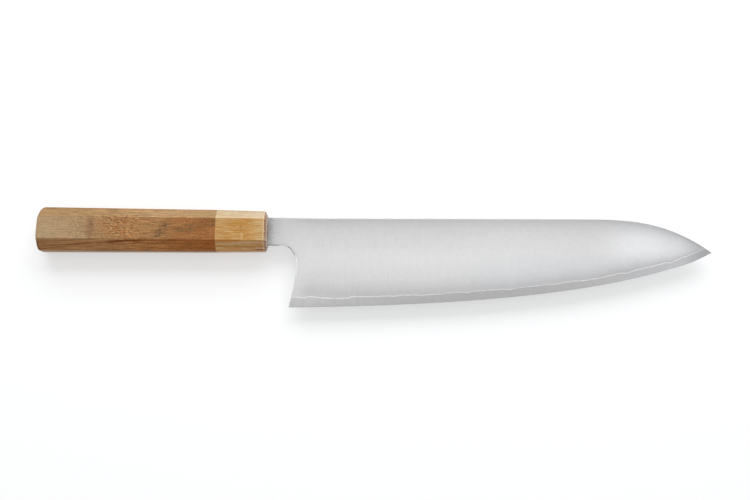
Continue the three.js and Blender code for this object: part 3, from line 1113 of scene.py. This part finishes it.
def fibre_masks(place, width, length):
    """Long fibres and short flecks, from -1 dark to 1 light, and a mask of dark pores."""
    fibre = lump_size(length, width)
    lines = noise(place, fibre, 1.0)
    flecks = noise(place, lump_size(width * FLECK_LENGTH, width), 1.0)
    pores = noise(place, shifted("MULTIPLY", fibre, PORE_SHARE), 0.0)
    return (
        spread(lines, 0.34, 0.66, -1, 1),
        spread(flecks, 0.34, 0.66, -1, 1),
        spread(pores, 0.62, 0.74, 0, 1),
    )


def growth_lines(place, layer, spacing, wander):
    """Thin dark lines where growth layers of a given spacing meet the surface."""
    drift = noise(place, GROWTH_DRIFT)
    turns = (layer + wander * drift) / spacing * (2 * math.pi)
    return (spread(worked("SINE", turns), 0.55, 1.0, 0, 1),)


def belt_lines(place, spacing, length):
    """Fine lines from spine to edge, as a grinding belt leaves them, and the haze between them."""
    return noise(place, lump_size(spacing, length)), noise(place, HAZE_GRAIN, 4.0)


def shades_along_blade(place):
    """Along the blade: distance from its darkest place, fall of light at the tip, front part."""
    x = split(place)[0]
    away = (x + -STEEL_DARKEST) / STEEL_DARK_REACH
    tip = spread(x, *TIP_SHADE, 1.0, TIP_SHADE_TONE)
    return away * away, tip, spread(x, *STEEL_FRONT, 0, 1)


def facet_masks(place):
    """Masks of the upper and of the lower facets of the handle."""
    y = split(place)[1]
    return spread(y, *UPPER_FACET_FROM, 0, 1), spread(y, *LOWER_FACET_FROM, 1, 0)


def underside_masks(place, edge):
    """Masks of the handle's downward facet: the part next to the lower facet, and the rest."""
    _, y, z = split(place)
    below = spread(y, *UNDERSIDE_TOP, 1, 0)
    facet = spread(z, *UNDERSIDE_EDGE, 1, 0) * below
    far = spread(z - edge, -0.7, 0.5, 1, 0) * below
    return facet - far, far


def patch_mask(place, centre, size):
    """A mask that fades from 1 at a centre to 0 at the edge of an ellipse round it."""
    away = shifted("DIVIDE", shifted("SUBTRACT", place, centre), size)
    reach = add_node("ShaderNodeVectorMath", {0: away, 1: away}, "Value", operation="DOT_PRODUCT")
    return (spread(reach, 0, 1, 1, 0),)


PLACE = ("Place",)
wood_fibres = shared_effect(
    "wood_fibres", PLACE, ("Width", "Length"), ("Fibres", "Flecks", "Pores"), fibre_masks
)
growth_layers = shared_effect(
    "growth_layers", PLACE, ("Layer", "Spacing", "Wander"), ("Lines",), growth_lines
)
grind_lines = shared_effect("grind_lines", PLACE, ("Spacing", "Length"), ("Lines", "Haze"), belt_lines)
blade_shading = shared_effect("blade_shading", PLACE, (), ("Ends", "Tip", "Front"), shades_along_blade)
facets = shared_effect("facets", PLACE, (), ("Upper", "Lower"), facet_masks)
underside = shared_effect("underside", PLACE, ("Edge",), ("Near", "Far"), underside_masks)
soft_patch = shared_effect("soft_patch", ("Place", "Centre", "Size"), (), ("Mask",), patch_mask)


# Steels

def neck_tone(place, x, y):
    """A dark, mottled painted shadow where the neck leaves the ferrule, and a softer painted shade that
    reaches further along the neck.
    """
    mottle = spread(noise(place, NECK_MOTTLE_GRAIN), 0.3, 0.7, -NECK_MOTTLE, NECK_MOTTLE)
    painted_shadow = spread(x + mottle, *NECK_PAINTED_SHADOW_REACH, NECK_PAINTED_SHADOW_TONE, 0)
    depth = spread(y, *NECK_SHADE_HEIGHTS, *NECK_SHADE_TONES)
    shade = spread(x, *NECK_SHADE_REACH, depth, 0) * spread(x, *NECK_SHADE_SETS_IN, 0, 1)
    return 1.0 - (painted_shadow + shade)


def make_cladding_steel():
    """Satin steel with fine lines from spine to edge, under painted light: shading up the face brightest
    along its middle, a belly highlight, shade at rear and neck, a cool front reflection.
    """
    material, shader, place = new_material("cladding_steel")
    x, y, _ = split(place)
    stored = material.node_tree.nodes.new("ShaderNodeAttribute")
    stored.attribute_name = "face_rise"
    rise = Wire(stored.outputs["Fac"])
    lines = grind_lines(Place=place, Spacing=0.8, Length=10.0)
    along = blade_shading(Place=place)
    patches = spread(noise(place, (24.0, 12.0, 12.0)), 0.35, 0.65, 0.2, 1.0)
    fine = spread(lines["Lines"], 0.3, 0.7, -FACE_LINE_TONE, FACE_LINE_TONE)
    fine = fine * patches * spread(x, *FACE_LINES_FADE, 1.0, 0.4)
    haze = spread(lines["Haze"], 0.3, 0.7, -FACE_HAZE_TONE, FACE_HAZE_TONE)
    # Painted highlight across the belly near the tip
    belly_highlight = within(x, *BELLY_PAINTED_HIGHLIGHT) * within(rise, *BELLY_RISE) * BELLY_HIGHLIGHT_TONE
    tone = (1.0 + fine + haze) * (1.0 + belly_highlight) * along["Tip"]
    # Painted shade on the rear upper face, and painted light on the lower face near the tip
    rear_upper = spread(rise, 0.5, 0.7, 0, 1) * spread(x, *FACE_UPPER_FADE, 1, 0)
    tone = tone * spread(rear_upper, 0, 1, 1.0, FACE_UPPER_TONE)
    tip_foot = spread(rise, 0.1, 0.5, 1, 0) * spread(x, *TIP_FOOT, 0, 1)
    tone = tone * (1.0 + tip_foot * TIP_FOOT_RISE) * neck_tone(place, x, y)
    # The face's colour is its painted shading up the face, times the tones above
    color = mixed(1.0, ramp(rise, FACE_PAINTED_SHADING, "CARDINAL"), tone, "MULTIPLY")
    # Painted cool reflection on the lower face and the front part
    low_part = spread(rise, 0.3, 0.6, 1, 0) * spread(x, *COOL_FROM, 0, 1)
    color = mixed(worked("MAXIMUM", low_part, along["Front"]), color, COOL_REFLECTION_TINT, "MULTIPLY")
    dress(shader, color, spread(lines["Lines"], 0.2, 0.8, 0.30, 0.38), 1.0)
    bump(shader, lines["Lines"], 0.01, 0.06)
    return material


def make_weld_line_steel():
    """The thin bright line where cladding and core are welded: lighter steel along the weld, and a painted
    highlight on it.
    """
    material, shader, place = new_material("weld_line_steel")
    lines = grind_lines(Place=place, Spacing=2.2, Length=9.0)
    along = blade_shading(Place=place)
    tone = WELD_LINE_AND_HIGHLIGHT_TONE + along["Ends"] * WELD_END_RISE
    tone = tone * spread(lines["Lines"], 0.3, 0.7, 0.9, 1.08) * along["Tip"]
    color = mixed(along["Front"], tone, COOL_REFLECTION_TINT, "MULTIPLY")
    dress(shader, color, spread(lines["Haze"], 0.3, 0.7, 0.28, 0.4), 1.0)
    return material


def make_core_steel():
    """Harder and greyer steel, darkest in the middle of the edge."""
    material, shader, place = new_material("core_steel")
    lines = grind_lines(Place=place, Spacing=1.4, Length=5.0)
    along = blade_shading(Place=place)
    tone = CORE_TONE + along["Ends"] * CORE_END_RISE
    for texture in (lines["Lines"], lines["Haze"]):
        tone = tone * spread(texture, 0.3, 0.7, 0.98, 1.02)
    color = mixed(along["Front"], tone * along["Tip"], COOL_REFLECTION_TINT, "MULTIPLY")
    dress(shader, color, spread(lines["Lines"], 0.2, 0.8, 0.26, 0.34), 1.0)
    return material


def make_rim_steel():
    """Rims of the blade: grey on the spine, painted shade under the neck and along the choil's curve, a
    painted highlight on the lower choil.
    """
    material, shader, place = new_material("rim_steel")
    x, y, _ = split(place)
    lines = grind_lines(Place=place, Spacing=1.1, Length=1.1)
    hollow = spread(y, *BRIGHT_FROM, RIM_LOW_TONE, RIM_CHOIL_TONE)
    choil = spread(y, *CHOIL_CURVE_FROM, hollow, RIM_CURVE_TONE)
    neck_foot = spread(x, *NECK_FOOT_LIT, RIM_UNDER_TONE, RIM_PLAIN_TONE)
    tone = spread(y, *NECK_FOOT_FROM, choil, neck_foot)
    tone = spread(y, *SPINE_FROM, tone, RIM_SPINE_TONE)
    tone = spread(x, *CHOIL_ENDS, tone, RIM_SPINE_TONE)
    tone = tone * spread(lines["Haze"], 0.3, 0.7, 0.95, 1.05)
    # Painted highlight on the lower choil: less metal, so its pale colour shows
    painted_highlight = within(y, *CHOIL_PAINTED_HIGHLIGHT) * spread(x, *CHOIL_ENDS, 1, 0)
    metal = spread(painted_highlight, 0, 1, 1.0, CHOIL_HIGHLIGHT_METAL)
    dress(shader, tone, spread(lines["Lines"], 0.2, 0.8, 0.32, 0.42), metal)
    return material


# Woods

def facet_colors(masks, share, upper, main, lower):
    """The colours of the upper, side and lower facets, as the plank is cut through."""
    color = mixed(masks["Upper"], ramp(share, main), ramp(share, upper))
    return mixed(masks["Lower"], color, ramp(share, lower))


def patch(place, centre, size):
    """A soft patch with a given centre and size."""
    return soft_patch(Place=place, Centre=centre, Size=size)["Mask"]


def body_tone(x, y, fibres, flat_side):
    """Light and dark of the fibres: flecks towards the butt, long lines in front."""
    line_depth = spread(x, *LINES_DEEPEN, 0.06, 0.24) * spread(x, *LINES_EASE, 1.0, 0.55)
    lower_extra = spread(x, *LOWER_LINES_EASE, 0.13, 0.05)
    upper_extra = spread(x, *UPPER_LINES_EASE, 0.14, -0.03)
    extra = spread(y, -4, 4, lower_extra, upper_extra)
    line_depth = line_depth + extra * spread(flat_side, 0, 1, 1, 0)
    fleck_depth = spread(x, *FLECKS_DEEPEN, 0.09, 0.18) * spread(flat_side, 0, 1, 0.7, 1.0)
    lines = fibres["Fibres"] * line_depth
    return 1.0 + lines + fibres["Flecks"] * fleck_depth + fibres["Pores"] * BODY_PORE_TONE


def body_curls(place, x, y, flat_side, color):
    """Short wavy strokes, brown and pale in turn, where the grain curls behind the middle."""
    lean = {"Vector": strewn(place, (3.6, 2.4, 2.4), 1.2), "Rotation": (0, 0, math.radians(CURL_LEAN))}
    curl = noise(add_node("ShaderNodeMapping", lean, "Vector"), CURL_GRAIN, 1.0)
    gathered = spread(noise(place, (7.0, 3.5, 3.5), 1.0), 0.3, 0.55, 0.5, 1.0)
    zone = spread(x, *CURLS_SET_IN, 0, 1) * spread(x, *CURLS_FADE, 1, 0) * flat_side * gathered
    red = spread(noise(place, (3.4, 1.4, 1.4), 1.0), 0.42, 0.62, 0, 0.55)
    color = mixed(red * zone, color, CURL_RED)
    dark = spread(curl, 0.36, 0.5, 0.9, 0) * zone * spread(y, -4, 3, 0.7, 1.0)
    color = mixed(dark, color, CURL_BROWN)
    return mixed(spread(curl, 0.5, 0.64, 0, 0.6) * zone, color, CURL_PALE)


def body_layers(place, x, y, z, flat_side, color):
    """Growth layers, tilted so that they rise along the lower facet, and the one dark streak."""
    drop = worked("SMOOTH_MAX", STREAK_MEETS - x, 0.0, 6.0) * STREAK_SLOPE + STREAK_LOW
    layer = y + SIDE_TOP + (z + -SIDE_HEIGHT) * BODY_LAYER_TILT + drop * LAYER_CROSSED
    rings = growth_layers(Place=place, Layer=layer, Spacing=1.4, Wander=1.6)
    color = mixed(rings["Lines"] * spread(flat_side, 0, 1, 0.45, 0.18), color, GROWTH_BROWN)
    off_streak = abs(layer + wobble(place, (9.0, 1.4, 1.4), 0.14))
    width = spread(x, *STREAK_WIDENS, 0.3, 0.46) * spread(x, *STREAK_NARROWS, 1.0, 0.75)
    strength = spread(x, *STREAK_PALES, 0.4, 0) + spread(x, *STREAK_DARKENS, 0.35, 0.95)
    strength = within(x, *STREAK_REACH) * (strength * spread(x, *STREAK_FADES, 1.0, 0.5))
    color = mixed(spread(off_streak, 0, width, 1, 0) * strength, color, STREAK_BROWN)
    return mixed(patch(place, *STREAK_KNOT) * 0.8, color, STREAK_BROWN)


def body_edges(place, x, y, z, color):
    """Painted highlight on the upper edge and orange lower edge of the flat side, brown rim, painted shade
    at the butt's corner, painted sheen on the underside.
    """
    # Painted highlight along the upper edge of the flat side
    painted_highlight = within(y, *UPPER_EDGE_HIGHLIGHT_ROWS) * within(x, *UPPER_EDGE_HIGHLIGHT) * 0.25
    color = mixed(painted_highlight, color, EDGE_PAINTED_HIGHLIGHT)
    warm = within(y, *WARM_EDGE_ROWS) * spread(x, *WARM_EDGE_FROM, 0, 0.35)
    color = mixed(warm, color, EDGE_ORANGE)
    # Painted shade at the lower corner of the butt
    corner = spread(x, *BUTT_CORNER, 0.6, 0) * spread(y, *BUTT_CORNER_TOP, 1, 0)
    color = mixed(corner, color, BUTT_PAINTED_SHADE)
    upper_rim = spread(z, *UPPER_RIM_EDGE, 0.45, 0) * spread(y, *UPPER_RIM_ROWS, 0, 1)
    color = mixed(upper_rim, color, EDGE_BROWN)
    parts = underside(Place=place, Edge=spread(x, *UNDERSIDE_WIDENS, 3.0, 0.6))
    along = spread(x, *UNDERSIDE_FROM, 0, 1)
    color = mixed(parts["Near"] * along * 0.3, color, UNDER_BROWN)
    # Painted sheen from the floor on the far part of the downward facet
    return mixed(parts["Far"] * along * 0.62, color, UNDERSIDE_PAINTED_SHEEN)


def body_figure(place, x, y, flat_side, color):
    """Grey heart figure across the flat side, clouds in front of it and a smudge behind."""
    ragged = wobble(place, (1.6, 0.9, 0.9), 1.4)
    off_figure = x + y * FIGURE_SLANT + y * y * FIGURE_BOW + ragged + -FIGURE_PLACE
    figure = spread(abs(off_figure), *FIGURE_WIDTH, 1.0, 0) * within(y, *FIGURE_SPAN) * flat_side
    strokes = noise(place, (1.6, 0.6, 0.9), 1.0, 0.3)
    color = mixed(figure * spread(strokes, 0.36, 0.62, 0.9, 0.18), color, FIGURE_GREY)
    blotches = spread(noise(place, (4.0, 1.6, 1.6), 1.0), 0.42, 0.66, 0, 0.37)
    color = mixed(blotches * spread(x, *BLOTCHES_FROM, 0, 1) * flat_side, color, BLOTCH_RED)
    frayed = spread(noise(place, (3.4, 0.7, 0.7)), 0.3, 0.7, 0.3, 0.9)
    loose = strewn(place, (5.0, 2.0, 2.0), 4.0)
    for centre, size in HEART_CLOUDS:
        color = mixed(patch(loose, centre, size) * frayed * flat_side, color, CLOUD_SHADE, "MULTIPLY")
    smudge = patch(strewn(place, (1.6, 0.9, 0.9), 3.0), *SMUDGE)
    return mixed(smudge * flat_side * 0.6, color, SMUDGE_SHADE, "MULTIPLY")


def make_handle_wood():
    """Brown wood: pale and mottled at the butt, curled behind the middle, straight in front."""
    material, shader, place = new_material("handle_wood")
    x, y, z = split(place)
    flat_side = spread(abs(z), *FLAT_SIDE_FROM, 0, 1)
    fibres = wood_fibres(Place=place, Width=0.55, Length=8.0)
    drift = wobble(place, (16.0, 5.0, 5.0), 6)
    share = spread(x + drift, BUTT, JOINT, 0.0, 1.0, "LINEAR")
    color = facet_colors(facets(Place=place), share, BODY_UPPER_COLORS, BODY_MAIN_COLORS, BODY_LOWER_COLORS)
    color = mixed(1.0, color, body_tone(x, y, fibres, flat_side), "MULTIPLY")
    color = body_curls(place, x, y, flat_side, color)
    color = body_layers(place, x, y, z, flat_side, color)
    color = body_figure(place, x, y, flat_side, color)
    color = body_edges(place, x, y, z, color)
    dress(shader, color, spread(fibres["Fibres"], -1, 1, 0.62, 0.5), shine=WOOD_SHINE)
    bump(shader, fibres["Fibres"] - fibres["Pores"], 0.02, 0.35)
    return material


def ferrule_lines(fibres, high, color):
    """Straight fibres: the dark ones orange, the light ones pale, both weaker on the upper facet."""
    strength = spread(high, 0, 1, 1.0, 0.7)
    color = mixed(spread(fibres["Fibres"], -1, 0.2, 0.42, 0) * strength, color, FERRULE_ORANGE)
    return mixed(spread(fibres["Fibres"], 0, 1, 0, 0.3) * strength, color, FERRULE_PALE)


def ferrule_underside(place, x, y, color):
    """Growth layers along the lower facet: pale, then brown, then thin ones near the front."""
    down = y + wobble(place, (12.0, 1.5, 1.5), 0.3)
    pale = within(down, *PALE_LAYER) * spread(x, *PALE_LAYER_GROWS, 0.1, 0.4)
    color = mixed(pale, color, FERRULE_GREY)
    brown = within(down, *BROWN_LAYER) + within(down, *BROWN_LINE)
    color = mixed(brown * 0.4, color, FERRULE_BROWN)
    front = spread(x, *THIN_LAYERS_FROM, 0, 0.9)
    color = mixed(within(y, *THIN_PALE_LAYER) * front, color, FERRULE_GREY)
    color = mixed(within(y, *THIN_DARK_LAYER) * front, color, FERRULE_DARK)
    # The far part of the downward facet gets a painted sheen in that grey
    parts = underside(Place=place, Edge=0.6)
    color = mixed(parts["Near"] * 0.3, color, FERRULE_BROWN)
    return mixed(parts["Far"] * 0.6, color, FERRULE_GREY)


def ferrule_marks(place, x, y, z, color):
    """Brown rim, pale upper and orange lower edge of the flat side, pale marks and a small knot."""
    rim = spread(z, *FERRULE_RIM_EDGE, 0.22, 0) * spread(y, *FERRULE_RIM_ROWS, 0, 1)
    color = mixed(rim, color, FERRULE_BROWN)
    front_side = spread(z, *FERRULE_SIDE_FROM, 0, 1)
    color = mixed(within(y, *FERRULE_PALE_EDGE_ROWS) * 0.4, color, FERRULE_PALE)
    band = within(y + wobble(place, (8.0, 1.2, 1.2), 0.4), *FERRULE_BAND_ROWS)
    color = mixed(band * within(x, *FERRULE_BAND_REACH) * front_side * 0.75, color, FERRULE_BAND)
    loose = strewn(place, (2.0, 0.8, 0.8), 2.4)
    for centre, size in PALE_MARKS:
        color = mixed(patch(loose, centre, size) * front_side * 0.35, color, FERRULE_PALE)
    return mixed(patch(loose, *DARK_KNOT) * front_side * 0.4, color, FERRULE_BROWN)


def ferrule_front(place, x, color):
    """End grain on the chamfer, between a painted highlight on its edge and a pale rim."""
    color = mixed(within(x, *FERRULE_FRONT_HIGHLIGHT) * 0.45, color, FRONT_EDGE_HIGHLIGHT)
    dots = spread(noise(place, (1.6, 0.9, 0.9), 1.0), 0.38, 0.62, 0, 1)
    rim = spread(x, *END_RIM_FROM, 0, 1) * spread(dots, 0, 1, 0.3, 1.0)
    end_color = mixed(rim, mixed(dots, END_GRAIN_DARK, END_GRAIN_PALE), END_RIM_PALE)
    return mixed(spread(x, *END_GRAIN_FROM, 0, 1), color, end_color)


def make_ferrule_wood():
    """Pale golden wood with straight fibres."""
    material, shader, place = new_material("ferrule_wood")
    x, y, z = split(place)
    fibres = wood_fibres(Place=place, Width=0.42, Length=8.0)
    drift = wobble(place, (9.0, 2.0, 2.0), 3)
    share = spread(x + drift, JOINT, 0.0, 0.0, 1.0, "LINEAR")
    masks = facets(Place=place)
    color = facet_colors(masks, share, FERRULE_UPPER_COLORS, FERRULE_MAIN_COLORS, FERRULE_LOWER_COLORS)
    color = ferrule_lines(fibres, masks["Upper"], color)
    color = mixed(1.0, color, 1.0 + fibres["Flecks"] * FERRULE_FLECK_TONE, "MULTIPLY")
    layer = y + (z + -SIDE_HEIGHT) * FERRULE_LAYER_TILT
    rings = growth_layers(Place=place, Layer=layer, Spacing=1.3, Wander=1.6)
    color = mixed(rings["Lines"] * 0.22, color, FERRULE_BROWN)
    color = mixed(fibres["Pores"] * 0.25, color, FERRULE_BROWN)
    color = ferrule_underside(place, x, y, color)
    color = ferrule_marks(place, x, y, z, color)
    color = ferrule_front(place, x, color)
    dress(shader, color, spread(fibres["Fibres"], -1, 1, 0.6, 0.46), shine=WOOD_SHINE)
    bump(shader, fibres["Fibres"], 0.015, 0.3)
    return material


def make_dowel_wood():
    """Plain pale wood, seen only where the handle is taken apart."""
    material, shader, place = new_material("dowel_wood")
    fibres = wood_fibres(Place=place, Width=0.5, Length=16.0)
    color = mixed(spread(fibres["Fibres"], -1, 1, 0, 1), DOWEL_DARK, DOWEL_PALE)
    dress(shader, color, spread(fibres["Pores"], 0, 1, 0.65, 0.8))
    bump(shader, fibres["Fibres"], 0.03, 0.4)
    return material


def make_bedding():
    """Set adhesive with faint clouds."""
    material, shader, place = new_material("bedding_adhesive")
    cloud = noise(place, (4.0, 2.0, 2.0), 3.0)
    dress(shader, mixed(cloud, BEDDING_DARK, BEDDING_PALE), spread(cloud, 0.3, 0.7, 0.35, 0.6))
    bump(shader, cloud, 0.1, 0.3)
    return material


cladding_steel = make_cladding_steel()
weld_line_steel = make_weld_line_steel()
core_steel = make_core_steel()
rim_steel = make_rim_steel()
handle_wood = make_handle_wood()
ferrule_wood = make_ferrule_wood()
dowel_wood = make_dowel_wood()
bedding_adhesive = make_bedding()


# Stage

def camera():
    """The photograph's view, aimed at a point beside the middle of the knife."""
    data = bpy.data.cameras.new("photo_camera")
    data.lens = CAMERA_LENS
    data.sensor_width = CAMERA_SENSOR
    aim = in_frame(*CAMERA_AIM)
    back = Vector((0, -math.sin(CAMERA_TILT), math.cos(CAMERA_TILT)))
    right = Vector((1, 0, 0))
    up = back.cross(right)
    turned_right = right * math.cos(CAMERA_ROLL) + up * math.sin(CAMERA_ROLL)
    turned_up = up * math.cos(CAMERA_ROLL) - right * math.sin(CAMERA_ROLL)
    turn = Matrix((turned_right, turned_up, back)).transposed().to_4x4()
    place = Matrix.Translation(aim + back * CAMERA_DISTANCE * MM)
    eye = show("photo_camera", data)
    eye.matrix_world = place @ turn
    bpy.context.scene.camera = eye


def floor_paint():
    """White floor that keeps its shadow, lifted to white for what sees it straight or mirrored."""
    material = bpy.data.materials.new("floor_paint")
    material.use_nodes = True
    nodes = material.node_tree.nodes
    nodes.clear()
    path = nodes.new("ShaderNodeLightPath").outputs
    seen = worked("MAXIMUM", Wire(path["Is Camera Ray"]), Wire(path["Is Glossy Ray"]))
    seen = worked("MAXIMUM", seen, Wire(path["Is Transmission Ray"]))
    paint = add_node("ShaderNodeBsdfDiffuse", {"Color": mixed(seen, FLOOR_PAINT, FLOOR_SEEN)}, "BSDF")
    glow = add_node("ShaderNodeEmission", {"Strength": seen * FLOOR_LIFT}, "Emission")
    both = add_node("ShaderNodeAddShader", {0: paint, 1: glow}, "Shader")
    feed(nodes.new("ShaderNodeOutputMaterial").inputs["Surface"], both)
    return material


def floor():
    """A wide white floor under the knife."""
    mesh = bpy.data.meshes.new("floor")
    reach = FLOOR_REACH
    corners = [(-reach, -reach, 0), (reach, -reach, 0), (reach, reach, 0), (-reach, reach, 0)]
    mesh.from_pydata(corners, [], [(0, 1, 2, 3)])
    mesh.materials.append(floor_paint())
    ground = show("floor", mesh)


def softbox(name, place, width, height, power):
    """A soft rectangular lamp that faces the middle of the knife."""
    data = bpy.data.lights.new(name, "AREA")
    data.shape = "RECTANGLE"
    data.size = width
    data.size_y = height
    data.energy = power
    lamp = show(name, data)
    lamp.location = place
    lamp.rotation_mode = "QUATERNION"
    lamp.rotation_quaternion = (-Vector(place)).to_track_quat("-Z", "Y")
    lamp.visible_camera = False


def studio():
    """An even white room, a large softbox behind the spine and a softer one overhead."""
    world = bpy.data.worlds.new("studio")
    bpy.context.scene.world = world
    world.use_nodes = True
    nodes = world.node_tree.nodes
    room = nodes["Background"].inputs
    room["Color"].default_value = (1, 1, 1, 1)
    seen_straight = Wire(nodes.new("ShaderNodeLightPath").outputs["Is Camera Ray"])
    feed(room["Strength"], spread(seen_straight, 0, 1, ROOM_LEVEL, 1))
    softbox("back_softbox", BACK_BOX_PLACE, *BACK_BOX_SIZE, BACK_BOX_POWER)
    softbox("top_softbox", TOP_BOX_PLACE, *TOP_BOX_SIZE, TOP_BOX_POWER)
    bpy.context.scene.view_settings.view_transform = "Standard"


camera()
cladding_piece("cladding_right_face", 1, "cladding_right")
cladding_piece("cladding_left_face", -1, "cladding_left")
core_piece()
handle_body_piece()
ferrule_piece()
for node, material in (("tang_dowel", dowel_wood), ("tang_bedding", bedding_adhesive)):
    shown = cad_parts[node]
    shown.data.materials.clear()
    shown.data.materials.append(material)
floor()
studio()
